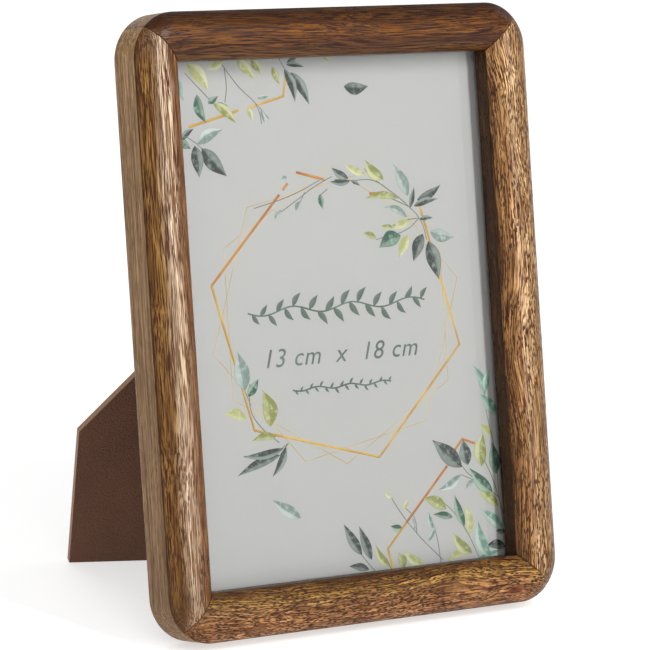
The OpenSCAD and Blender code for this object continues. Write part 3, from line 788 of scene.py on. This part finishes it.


# %% [markdown]
# ### Where the leaves lie
# The artwork is laid out in millimetres from the middle of the card. A leaf is written as the
# place of its stalk, the place of its tip and its breadth, under the tone it is printed in. The stems
# are lists of points that a smooth line runs through.

# %% Layout of the sprays
SLATE, GREEN, OLIVE, MIST, LIME, TEAL = range(6)
LEAVES = {
    SLATE: [
        (-51, 58.5, -50, 48, 4.6), (-48.5, 57.5, -39.5, 48, 5.4), (-56, 60.5, -51, 64, 2.2),
        (-15, 82, -11.5, 71, 3.4), (-12.5, 81, -6, 70, 3.8), (-14, 83.5, -7, 82.5, 1.8),
        (-10, 86, -14, 84, 2), (8, 75.5, 17.8, 75.4, 4.2), (7.5, 45, 1, 49, 2.8), (8, 44, 0, 44.3, 2.3),
        (8.5, 44.3, 12, 42.5, 1.4), (31.5, 34, 33.7, 41, 2), (34.5, 36.5, 44.5, 41.2, 3),
        (33, 34.5, 43, 36.5, 2.5), (35, 30, 40.5, 30.2, 1.6), (36, 25, 31.5, 16, 4.6),
        (38, 22.5, 41.5, 9.3, 5.8), (-24.5, -42, -40.5, -43.4, 2.9), (-26, -44, -43, -49.6, 3.2),
        (-23.5, -41.5, -29.5, -51, 2.9), (46, -54.5, 34.5, -44.3, 6), (48.5, -54, 47, -45, 4.8),
        (3.5, -80, -3, -69, 3.8), (7.2, -82, 3, -70.3, 3.6), (6, -85, -2, -83.2, 2.6),
        (62, -83, 54, -82, 3.4), (62, -78, 58.5, -77.3, 2)
    ],
    GREEN: [
        (-49, 75, -46, 65.5, 3.6), (-42, 71.5, -37.5, 71, 2.2), (-45, 72, -41, 74.2, 2.2),
        (27, 25, 18, 21.4, 5.4), (-37, -24, -32.5, -18.5, 3.2), (58, -64, 49, -55, 4.6),
        (60, -58, 59, -47, 4.6), (45.5, -74.5, 42.3, -63.5, 3.4), (41, -71, 33, -69.3, 2.6),
        (20, -72.5, 15.5, -71.5, 2.6), (-57, 61, -52.5, 57.6, 3), (-4, 40.5, -3.2, 35.4, 2.2)
    ],
    OLIVE: [
        (-43, 72, -34.5, 64.8, 3.2), (-27.5, 85.5, -24, 80.5, 3.4), (-19.5, 83, -17, 77, 2.6),
        (21.5, 44, 14.5, 51, 4.2), (27, 37.5, 13.5, 38, 2.6), (24, 28, 19, 28.6, 2),
        (17, 24.5, 12, 26.6, 2.2), (-27, -38, -36.5, -38.6, 2.8), (-29, -34.5, -31.3, -22.3, 5.8),
        (54, -55, 55.5, -43.5, 5.2), (38.5, -68, 29.4, -63.4, 4.2), (60, -69, 51, -61, 3.8),
        (20, -86, 18, -80.5, 3.4), (48, -84, 40.5, -76, 4.2), (14.5, -85, 9, -77, 3)
    ],
    MIST: [
        (-50, 59, -40, 63.3, 4.2), (31, 38, 25.5, 49, 4.4), (30, 31, 21, 34.8, 2.6),
        (39, 25.5, 48.8, 23.3, 4.4), (-12, 38.5, -14, 35, 2.4), (-19.5, 36, -22.3, 33, 2.2),
        (-38, -22, -40, -9, 6), (45.5, -57, 35.5, -61.4, 3.2), (50.5, -59.5, 47, -62, 1.8),
        (-19.5, -65.5, -30.2, -58.4, 4.4), (-26, 73, -21.5, 73.4, 1.7), (-25, 69, -23.6, 64, 1.6),
        (-16.5, 46.5, -18.8, 46, 1.5), (30.5, -78, 34, -73.5, 1.8), (25, -74, 24.5, -69.5, 1.3)
    ],
    LIME: [
        (-52, 85, -44.5, 76, 5), (-33, 86, -26.5, 79, 3.8), (-38, 86, -45, 83, 3), (14, 46, 6, 50, 2.8),
        (31, 29.5, 23.5, 27.5, 3), (30, 25, 25.8, 17.5, 3.8), (-38, -31, -46.5, -28.6, 3.8),
        (58.5, -45, 54.5, -40.8, 3), (47.5, -77.5, 46.8, -67, 3.4), (28, -86, 20.5, -80.5, 3.6),
        (47, -83.5, 37, -85.5, 2.6), (1, 86, 3, 84.2, 1.6), (-30, 70, -28.5, 65.5, 2),
        (21, -66.5, 24, -63, 1.6), (17, -62, 14, -60, 1.8)
    ],
    TEAL: [
        (61.5, -38, 55.5, -30.5, 4.2), (57.3, -31, 53, -20.3, 3.2), (57.6, -30, 60, -22, 2.8),
        (61.5, -77, 52.5, -69.3, 4), (55, -86, 51.2, -73, 4.8), (-55, 80, -54, 73, 2),
        (50, -86, 60, -84, 3), (32.5, -74, 31.2, -68.2, 1.9)
    ],
}
STEMS = [
    [(-53, 82), (-44, 73), (-36.5, 66.5)], [(-40, 86), (-33, 77), (-27, 71.5), (-22, 66)],
    [(-38, 83), (-37.6, 77), (-38.5, 72)], [(-57, 63), (-50.5, 59.3), (-48, 57)],
    [(-17, 86), (-14.5, 82), (-12, 80)], [(-27, 71.5), (-25.5, 68), (-25, 64.5)],
    [(-22, 34), (-14, 38.5), (-6, 43), (1, 46)], [(-30, 37), (-14, 41), (-4, 45)],
    [(-12, 38), (-10, 41.5)], [(-4, 40), (-1, 42)],
    [(2, 45), (9, 44.3), (17, 44), (24, 40), (31, 34.5), (35.5, 29.5), (37.5, 23)],
    [(14, 48), (19, 43.5), (24, 40)], [(35, 30.5), (30, 27), (17, 24.2)], [(31, 34.5), (22, 38.5)],
    [(24, 28.5), (30, 30), (35, 30.5)], [(-36, -20), (-36, -29), (-32, -35), (-26, -40)],
    [(-38, -22), (-36, -27)], [(-22.5, -40.5), (-26, -44)],
    [(-40, -43.4), (-26, -42.2), (-22.5, -40.5)], [(62, -72), (58.5, -60), (55, -52)],
    [(63, -80), (61, -70), (60, -50), (57, -33), (57, -29)], [(53, -60), (48.5, -57), (46, -54)],
    [(51, -86), (45.5, -75), (38.5, -66.5), (33, -63.5)], [(36, -85), (26, -75), (19, -66), (16, -61)],
    [(35, -86), (34, -77), (32, -70)], [(26, -75), (25.5, -70), (22, -66)],
    [(8.5, -86), (5, -82), (1, -77)], [(15, -86), (12, -81)], [(60.5, -66), (54, -61)],
    [(45.5, -57), (50.5, -59.3)]
]
print(sum(len(leaves) for leaves in LEAVES.values()), "leaves on", len(STEMS), "stems")


# %% [markdown]
# ### Garlands for captions
# Above and below the print size, a caption's place is taken by a plain garland: a wavy line with small
# leaves that alternate up and down it, in the grey-green ink of the print size.

# %% Garlands
CAPTION_INK = 6


def garland(half_length, middle, wave, leaf_length, count):
    """Leaves and stem of a garland centred on the card at the height given."""
    def height(x):
        """Height of the wavy stem at a place along it."""
        return middle + wave * math.sin(3 * math.pi * x / half_length)

    leaves = []
    for i in range(count):
        x = -half_length + 2 * half_length * (i + 0.5) / count
        side = 1 if i % 2 else -1
        size = leaf_length * (0.72 + 0.28 * math.cos(math.pi * (i - count / 2) / count))
        leaves.append((x, height(x), x + 0.62 * size, height(x) + 0.78 * size * side, 0.36 * size))
    stem = [(x, height(x)) for x in np.linspace(-half_length, half_length, 25)]
    return leaves, stem


wide_leaves, wide_stem = garland(35, 3, 1.2, 6.2, 22)
narrow_leaves, narrow_stem = garland(19.5, -23.3, 0.5, 2.6, 20)
LEAVES[CAPTION_INK] = wide_leaves + narrow_leaves
print(len(LEAVES[CAPTION_INK]), "leaves in the garlands")


# %% [markdown]
# ### Inks
# The leaves are printed from watercolours: one half of a leaf is lighter, the midrib is a dark thread,
# the wash pools at the edges, and no two leaves match. Along and across each leaf come from the tree,
# so the wash follows the leaf whichever way it points.

# %% Leaf inks
# slate, deep green, olive, mist, lime, teal, caption grey-green
DEEP_TONES = ["#222c2a", "#285040", "#7d8340", "#6f837c", "#a2a566", "#5f8a78", "#4a5c50"]
PALE_TONES = ["#87948b", "#9ab29e", "#bec095", "#bcc5c0", "#c9caa9", "#b6c5bb", "#5f7065"]

leaf_ink, node = new_material("offset print, watercolour leaves")
across, along, chance, tone = [node("Attribute", attribute_name=name, out="Fac")
                               for name in ("across", "along", "chance", "tone")]
tone = node("Math DIVIDE", tone, len(DEEP_TONES))
deep, pale = [node("ValToRGB CONSTANT", tone,
                   stops=[(max(0.0, (k - 0.5) / len(hexes)), hexes[k]) for k in range(len(hexes))])
              for hexes in (DEEP_TONES, PALE_TONES)]
wash = node("TexNoise", bench_mm(node), 0.45, 3.0, 0.6)
lit_half = node("Math ADD", across, node("Math SUBTRACT", wash, 0.5))
lit_half = node("MapRange SMOOTHSTEP", lit_half, -0.35, 0.5)
lit_half = node("Math MULTIPLY", lit_half, node("MapRange SMOOTHSTEP", chance, 0.0, 1.0, 0.45, 1.0))
colour = node("Mix RGBA", lit_half, deep, pale)
colour = node("Mix RGBA", node("MapRange SMOOTHSTEP", wash, 0.45, 0.7, 0.0, 0.7), colour, pale)
edge = node("Math ABSOLUTE", across)
colour = node("Mix RGBA", node("MapRange SMOOTHSTEP", edge, 0.8, 1.0, 0.0, 0.5), colour, deep)
colour = node("Mix RGBA", node("MapRange SMOOTHSTEP", edge, 0.0, 0.16, 0.7, 0.0), colour, deep)
colour = node("Mix RGBA", node("MapRange SMOOTHSTEP", along, 0.0, 0.3, 0.5, 0.0), colour, deep)
coat(leaf_ink, {"Base Color": colour, "Roughness": 0.65})
print(leaf_ink.name)


# %% Draw the leaves
cloud = bpy.data.meshes.new("leaf_points")
drawn = [(tone, leaf) for tone, leaves in LEAVES.items() for leaf in leaves]
cloud.from_pydata([(leaf[0], PRINT_Y - 0.03, leaf[1]) for tone, leaf in drawn], [], [])
cloud.attributes.new("reach", "FLOAT_VECTOR", "POINT").data.foreach_set(
    "vector", [c for tone, leaf in drawn for c in (leaf[2] - leaf[0], 0, leaf[3] - leaf[1])])
for attribute, values in (("breadth", [leaf[4] for tone, leaf in drawn]),
                          ("tone", [float(tone) for tone, leaf in drawn])):
    cloud.attributes.new(attribute, "FLOAT", "POINT").data.foreach_set("value", values)
leaves_mesh = grow("printed_leaves", leaf_maker, {"Curl": 0.22, "Seed": 11, "Ink": leaf_ink}, cloud)
finish_piece("printed_leaves", leaves_mesh, BENCH, "frame")


# %% [markdown]
# ### Lines
# Stems, garlands and hexagons are lines of ink of a given width, so one small tree serves them all: it
# runs a thin round bar along each curve and then presses it flat.

# %% The line tree
PRESSED = 0.012          # share of a bar's depth that pressing leaves


def line_tree():
    """Draws flat lines of ink along curves."""
    tree, node, given = new_tree("printed_lines", {
        "Lines": "Geometry", "Width": "Float", "Level": "Float", "Ink": "Material"})
    bar = node("CurvePrimitiveCircle", 6, named={"Radius": node("Math MULTIPLY", given["Width"], 0.5)})
    swept = node("CurveToMesh", given["Lines"], named={"Profile Curve": bar, "Fill Caps": True})
    point = node("SeparateXYZ", node("InputPosition")).node.outputs
    thin = node("Math MULTIPLY_ADD", point["Y"], PRESSED, given["Level"])
    pressed = node("CombineXYZ", point["X"], thin, point["Z"])
    whole = node("RealizeInstances", node("SetPosition", swept, named={"Position": pressed}))
    node("GroupOutput", node("SetMaterial", whole, named={"Material": given["Ink"]}))
    return tree


line_maker = line_tree()


def ink(name, first, second, patch_mm, roughness):
    """A printed ink that drifts between two colours over patches of the size given."""
    material, node = new_material(name)
    drift = node("MapRange SMOOTHSTEP", node("TexNoise", bench_mm(node, 1 / patch_mm), 1.0, 2.0), 0.4, 0.6)
    colour = node("Mix RGBA", drift, linear(first), linear(second))
    return coat(material, {"Base Color": colour, "Roughness": roughness})


def draw_lines(name, lines, width, level, material, closed=False, smooth=True):
    """Lines through the points given, as wide as given, on the front of the card."""
    curve = bpy.data.curves.new(name + "_curve", "CURVE")
    curve.dimensions = "3D"
    for points in lines:
        spline = curve.splines.new("BEZIER" if smooth else "POLY")
        made = spline.bezier_points if smooth else spline.points
        made.add(len(points) - 1)
        for place, (x, z) in zip(made, points):
            place.co = (x, 0, z) if smooth else (x, 0, z, 1)
            if smooth:
                place.handle_left_type = place.handle_right_type = "AUTO"
        spline.use_cyclic_u = closed
        spline.resolution_u = 6
    mesh = grow(name, line_maker, {"Width": width, "Level": level, "Ink": material}, curve)
    finish_piece(name, mesh, BENCH, "frame")


print(len(line_maker.nodes), "nodes in the line tree")


# %% Stems, garlands and hexagons
stem_ink = ink("offset print, grey-brown stems", "#6a736c", "#66684e", 12, 0.65)
caption_ink = ink("offset print, grey-green caption", "#4a5c50", "#5f7065", 9, 0.65)
gold_ink = ink("offset print, gold band", "#b98f26", "#d0ac4a", 14, 0.5)
amber_ink = ink("offset print, amber band", "#a9620f", "#bf8322", 10, 0.5)
pale_gold_ink = ink("offset print, thin pale gold", "#b8a050", "#c9b678", 10, 0.5)


def hexagon(radius, turn):
    """Corners of a hexagon round the middle of the card, turned by the degrees given."""
    angles = [math.radians(turn + 60 * k) for k in range(6)]
    return [(radius * math.cos(a), radius * math.sin(a)) for a in angles]


corners = hexagon(49.8, 45)
top_left = Vector(corners[1])
left = Vector(corners[2])
draw_lines("printed_stems", STEMS, 0.32, PRINT_Y - 0.024, stem_ink)
draw_lines("printed_garlands", [wide_stem, narrow_stem], 0.6, PRINT_Y - 0.03, caption_ink)
draw_lines("printed_thin_hexagons", [hexagon(49.8, 11), hexagon(49.2, 30)], 0.34, PRINT_Y - 0.01,
           pale_gold_ink, closed=True, smooth=False)
draw_lines("printed_gold_bands", [[corners[0], corners[5], corners[4], corners[3], tuple(left)],
                                  [(-53, 64.5), (-33.5, 69.2)], [(-30, 69.8), (-16, 73.2), (-14.6, 79.5)],
                                  [(15.5, -86), (14, -79), (22, -71)]],
           1.0, PRINT_Y - 0.016, gold_ink, smooth=False)
draw_lines("printed_amber_bands", [[tuple(left), tuple(left.lerp(top_left, 0.8))],
                                   [tuple(left.lerp(top_left, 0.84)), tuple(left.lerp(top_left, 0.9))],
                                   [tuple(top_left), (-2, 45.1)], [(22, -71), (40, -53.5)],
                                   [(43.5, -48.5), (46.8, -45), (52, -47)], [(15.5, 39.6), (20, 39.4)]],
           1.0, PRINT_Y - 0.019, amber_ink, smooth=False)


# %% [markdown]
# ### The print size
# The size of the print is set in a plain slanted face. Text is made a mesh while it is still square to
# its own axes, then stood up and carried to the card.

# %% Print size
def caption(name, words, height, middle_x, baseline, slant):
    """Words on the card, centred on middle_x and standing on the baseline, in millimetres."""
    text = bpy.data.curves.new(name, "FONT")
    text.body = words
    text.size = height
    text.shear = slant
    text.align_x = "CENTER"
    text.space_character = 1.08
    holder = bpy.data.objects.new(name, text)
    bpy.context.scene.collection.objects.link(holder)
    mesh = bpy.data.meshes.new_from_object(holder.evaluated_get(bpy.context.evaluated_depsgraph_get()))
    bpy.data.objects.remove(holder)
    mesh.materials.clear()
    mesh.materials.append(caption_ink)
    stand_up = Matrix.Rotation(math.pi / 2, 4, "X")
    mesh.transform(Matrix.Translation((middle_x, PRINT_Y - 0.03, baseline)) @ stand_up)
    mesh.name = name
    return finish_piece(name, mesh, BENCH, "frame")


caption("printed_size", "13 cm  x  18 cm", 8.6, 0, -15.3, 0.28)


# %% [markdown]
# ## The back
# Behind the card lie a sheet of corrugated card and a brown fibreboard, held by four turn buttons. The
# leg is cut from the same board and hangs from a small steel hinge riveted to it. These parts keep the
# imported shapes. What they lack is the eased edge that every sawn, stamped or turned part has, and that
# catches the light, so each gets a copy with its loose triangles merged and its sharp edges bevelled.

# %% Easing the edges of a part
def eased_copy(name, body, material, width, angle=35):
    """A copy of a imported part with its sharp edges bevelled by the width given, in millimetres."""
    mesh = frame["nodes"][name].data.copy()
    mesh.name = name + "_eased"
    work = bmesh.new()
    work.from_mesh(mesh)
    bmesh.ops.remove_doubles(work, verts=work.verts, dist=WELD)
    bmesh.ops.dissolve_limit(work, angle_limit=math.radians(0.5), verts=work.verts, edges=work.edges)
    sharp = [e for e in work.edges if len(e.link_faces) == 2 and e.calc_face_angle(0) > math.radians(angle)]
    bmesh.ops.bevel(work, geom=sharp, offset=width * MM, segments=2, affect="EDGES", clamp_overlap=True)
    bmesh.ops.recalc_face_normals(work, faces=work.faces)
    work.to_mesh(mesh)
    work.free()
    mesh.materials.clear()
    mesh.materials.append(material)
    piece = finish_piece(mesh.name, mesh, Matrix.Identity(4), body, [name], 40)
    piece.modifiers.new("even_shading", "WEIGHTED_NORMAL").keep_sharp = True
    return piece


# %% [markdown]
# ### Fibreboard, corrugated card and plated steel
# The board is medium-density fibreboard with a dark brown embossed paper on both faces. Its sawn edges
# are bare and much lighter. The faces are told from the edges by the direction they look in, measured
# in the part's own space, so they stay right when the leg swings. The emboss is a leather grain about
# a millimetre across, drawn a little coarser than life so that it shows.
#
# The hinge and buttons are stamped steel with bright nickel on it, the screws, rivets, pin and corner
# nails are zinc plated: greyer, duller and a little blotchy.

# %% Finishes of the back
def fibreboard(name, axis, placing):
    """Fibreboard whose papered faces look along the axis given. Its other sides are sawn."""
    material, node = new_material(name)
    position = bench_mm(node, 1.0, placing)
    towards = node("VectorMath DOT_PRODUCT", node("TexCoord", out="Normal"), axis)
    on_face = node("MapRange", node("Math ABSOLUTE", towards), 0.4, 0.75)
    grain = node("TexVoronoi", position, 0.9, feature="DISTANCE_TO_EDGE")
    cloud = node("TexNoise", position, 0.06, 3.0)
    speck = node("TexNoise", position, 1.6, 3.0, 0.7)
    tone = node("MapRange", node("Math MULTIPLY_ADD", cloud, 0.3, speck), 0.4, 0.9)
    face = node("Mix RGBA", tone, linear("#40210c"), linear("#653a1a"))
    chip = node("TexNoise", position, 3.0, 3.0, 0.7)
    sawn = node("Mix RGBA", chip, linear("#6e4a32"), linear("#b08c6c"))
    relief = node("Math ADD", node("MapRange SMOOTHSTEP", grain, 0.0, 0.22), speck)
    return coat(material, {
        "Base Color": node("Mix RGBA", on_face, sawn, face),
        "Roughness": node("MapRange", speck, 0.3, 0.7, 0.55, 0.7),
        "Normal": node("Bump", named={"Height": relief, "Strength": 0.8, "Distance": 0.14 * MM})})


def plated_steel(name, first, second, patch_mm, roughness):
    """Sheet steel under a thin bright plating that is never quite even."""
    material, node = new_material(name)
    patch = node("TexNoise", bench_mm(node, 1 / patch_mm), 1.0, 3.0)
    dents = node("TexNoise", bench_mm(node), 1.4, 2.0)
    return coat(material, {
        "Base Color": node("Mix RGBA", patch, linear(first), linear(second)),
        "Metallic": 1.0,
        "Roughness": node("MapRange", patch, 0.3, 0.7, roughness - 0.07, roughness + 0.1),
        "Normal": node("Bump", named={"Height": dents, "Strength": 0.15, "Distance": 0.03 * MM})})


# The leg's own bench: x along the hinge pin, y square out of the leg, z down it from the pin
hinge = joint("strut_hinge")
pin_line = Vector(hinge["axis"]).normalized()
leg_mesh = frame["nodes"]["strut_leg"].data
leg_normal = max(leg_mesh.polygons, key=lambda face: face.area).normal.copy()
if leg_normal.dot(back_normal) < 0:
    leg_normal.negate()
leg_axes = Matrix((pin_line, leg_normal, pin_line.cross(leg_normal)))
LEG = Matrix.Translation(hinge["pos_m"]) @ leg_axes.transposed().to_4x4() @ Matrix.Scale(MM, 4)
board_brown = fibreboard("fibreboard, brown embossed paper faces, sawn edges", back_normal, BENCH)
leg_brown = fibreboard("fibreboard leg, brown embossed paper faces, sawn edges", leg_normal, LEG)
nickel = plated_steel("stamped steel, bright nickel plated", "#b9b4a8", "#d6d2c8", 3.0, 0.3)
zinc = plated_steel("steel, zinc plated", "#9ea1a3", "#c2c4c2", 1.2, 0.42)
print("leg looks towards", [round(c, 3) for c in leg_normal])


# %% [markdown]
# The corrugated pad is kraft card with flutes 3.2 mm apart, which show through as faint stripes.

# %% Corrugated pad
FLUTE_GAP = 3.2                                    # mm
WAVE_SCALE = 2 * math.pi / FLUTE_GAP / 20          # the wave texture has its own factor of 20

material, node = new_material("corrugated kraft card")
flute = node("TexWave", bench_mm(node), WAVE_SCALE, 0.4, 1.0, out="Fac")
dress("backing_pad", coat(material, {
    "Base Color": node("Mix RGBA", flute, linear("#a37c50"), linear("#b68e60")), "Roughness": 0.8,
    "Normal": node("Bump", named={"Height": flute, "Strength": 0.4, "Distance": 0.1 * MM})}))
pad_box = bench_box("backing_pad")
print("pad", [round(float(c), 2) for c in pad_box[1] - pad_box[0]], "mm")


# %% Board, leg, buttons, hinge and nails
eased_copy("back_board", "frame", board_brown, 0.25)
eased_copy("strut_leg", "strut", leg_brown, 0.3)
for side in ("top", "bottom", "left", "right"):
    eased_copy("turn_button_" + side, "button_" + side, nickel, 0.18)
eased_copy("hinge_board_leaf", "frame", nickel, 0.15)
eased_copy("hinge_leg_leaf", "strut", nickel, 0.15)
eased_copy("hinge_pin", "frame", zinc, 0.2)
eased_copy("corner_v_nails", "frame", zinc, 0.08)


# %% [markdown]
# ### Screws and rivets
# A pan-head screw holds each button, and domed rivets hold the hinge. Both are turned shapes: a
# profile carried round an axis. One Geometry Nodes tree does that with a grid, one way round the axis
# and the other down the profile, sets a copy on each place, and cuts a cross recess where there is one.
# Each head is turned by its own amount, as a screwdriver leaves them.

# %% The turned-head tree
def head_tree():
    """Turns a profile round an axis, cuts a cross recess, and sets a copy on every place."""
    tree, node, given = new_tree("turned_heads", {
        "Places": "Geometry", "Profile": "Object", "Corners": "Int", "Top": "Float",
        "Recess length": "Float", "Recess width": "Float", "Recess depth": "Float", "Seed": "Int",
        "Metal": "Material"})

    # Carry the profile round the axis
    grid = node("MeshGrid", 2 * math.pi, 1.0, 33, given["Corners"])
    turn = node("SeparateXYZ", node("InputPosition"), out="X")
    row = node("Math MODULO", node("InputIndex"), given["Corners"])
    corners = node("ObjectInfo", given["Profile"], out="Geometry")
    corner = node("SampleIndex FLOAT_VECTOR", corners, node("InputPosition"), row)
    corner = node("SeparateXYZ", corner).node.outputs
    sideways = node("Math MULTIPLY", corner["X"], node("Math COSINE", turn))
    upward = node("Math MULTIPLY", corner["X"], node("Math SINE", turn))
    around = node("CombineXYZ", sideways, corner["Y"], upward)
    turned = node("SetPosition", grid, named={"Position": around})
    head = node("MergeByDistance", turned, named={"Distance": 0.001})

    # Cut the recess: two crossed bars, each sunk to the depth given
    middle = node("CombineXYZ", 0.0, given["Top"])
    deep = node("Math MULTIPLY", given["Recess depth"], 2)
    length, width = given["Recess length"], given["Recess width"]
    for size in ((length, deep, width), (width, deep, length)):
        bar = node("MeshCube", node("CombineXYZ", *size))
        bar = node("Transform", bar, named={"Translation": middle})
        head = node("MeshBoolean DIFFERENCE", head, bar)

    # One on each place, turned by chance
    chance = node("RandomValue FLOAT", named={"Seed": given["Seed"]})
    spin = node("CombineXYZ", 0.0, node("Math MULTIPLY", chance, math.pi))
    heads = node("InstanceOnPoints", named={"Points": given["Places"], "Instance": head, "Rotation": spin})
    whole = node("RealizeInstances", heads)
    node("GroupOutput", node("SetMaterial", whole, named={"Material": given["Metal"]}))
    return tree


def solids(name, placing):
    """Lowest and highest corner of each separate solid of a part, in the placing's millimetres."""
    work = bmesh.new()
    work.from_mesh(frame["nodes"][name].data)
    bmesh.ops.remove_doubles(work, verts=work.verts, dist=WELD)
    work.transform(placing.inverted())
    left, boxes = set(work.verts), []
    while left:
        found, queue = set(), [left.pop()]
        while queue:
            vertex = queue.pop()
            found.add(vertex)
            near = [edge.other_vert(vertex) for edge in vertex.link_edges]
            queue += [other for other in near if other in left]
            left.difference_update(near)
        corners = np.array([v.co for v in found])
        boxes.append((corners.min(axis=0), corners.max(axis=0)))
    work.free()
    return boxes


def turned_heads(name, placing, body, head_h, metal, recess=(0, 0, 0)):
    """Replaces the screws or rivets of a part by turned ones of the same size. head_h is the head's
    height, and recess the length, width and depth of its cross."""
    boxes = solids(name, placing)
    low, high = boxes[0]
    radius, top, foot = (high[0] - low[0]) / 2, high[1], low[1]
    shank = radius * 0.5
    base = top - head_h
    profile = [(0, foot), (shank, foot), (shank, base), (radius * 0.97, base), (radius, base + head_h * 0.06),
               (radius, base + head_h * 0.28)]
    quarter = [math.pi / 2 * k / 8 for k in range(1, 9)]
    profile += [(radius * math.cos(a), base + head_h * (0.28 + 0.72 * math.sin(a))) for a in quarter]
    outline_mesh = bpy.data.meshes.new(name + "_profile")
    outline_mesh.from_pydata([(max(r, 0.0), y, 0) for r, y in profile], [], [])
    outline = bpy.data.objects.new(name + "_profile", outline_mesh)
    places = bpy.data.meshes.new(name + "_places")
    places.from_pydata([((low[0] + high[0]) / 2, 0, (low[2] + high[2]) / 2) for low, high in boxes], [], [])
    mesh = grow(name + "_turned", head_maker, {
        "Profile": outline, "Corners": len(profile), "Top": top, "Recess length": recess[0],
        "Recess width": recess[1], "Recess depth": recess[2], "Seed": len(name), "Metal": metal}, places)
    close_holes(mesh)
    bpy.data.objects.remove(outline)
    return finish_piece(name + "_turned", mesh, placing, body, [name], 40)


head_maker = head_tree()
print(len(head_maker.nodes), "nodes in the turned-head tree")


# %% Screws and rivets
turned_heads("turn_button_screws", BENCH, "frame", 1.5, zinc, recess=(3.0, 0.55, 0.75))
turned_heads("hinge_board_rivets", BENCH, "frame", 0.7, zinc)
turned_heads("hinge_leg_rivets", LEG, "strut", 0.7, zinc)
